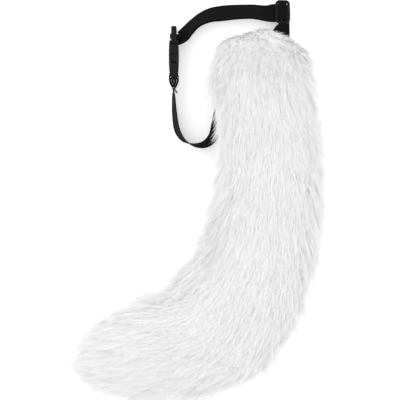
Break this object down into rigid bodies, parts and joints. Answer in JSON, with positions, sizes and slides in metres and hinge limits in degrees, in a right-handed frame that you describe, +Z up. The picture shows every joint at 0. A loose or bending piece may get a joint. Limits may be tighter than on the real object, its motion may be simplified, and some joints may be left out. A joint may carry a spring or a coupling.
{
  "type": "costume animal tail on a webbing belt loop",
  "caption": "Stuffed J-shaped tail of white long-pile fake fur with a black webbing belt loop, side-release buckle and slider.",
  "frame": {"origin": "bottom centre of the bounding box, on the floor the tail lies on", "axes": "+Z up from the floor, +Y from the tail's low bend to its root and the top strap, +X from the blunt tip's side to the root's side"},
  "size_m": [0.3216, 0.512, 0.1121],
  "materials": {
    "fur": "long soft pile",
    "webbing": "woven, low sheen",
    "plastic": "satin, moulded"
  },
  "bodies": {
    "root": {"fur_tail": "fur", "strap_long": "webbing", "strap_short": "webbing", "slider": "plastic", "buckle_plug": "plastic", "buckle_socket": "plastic"}
  },
  "joints": []
}
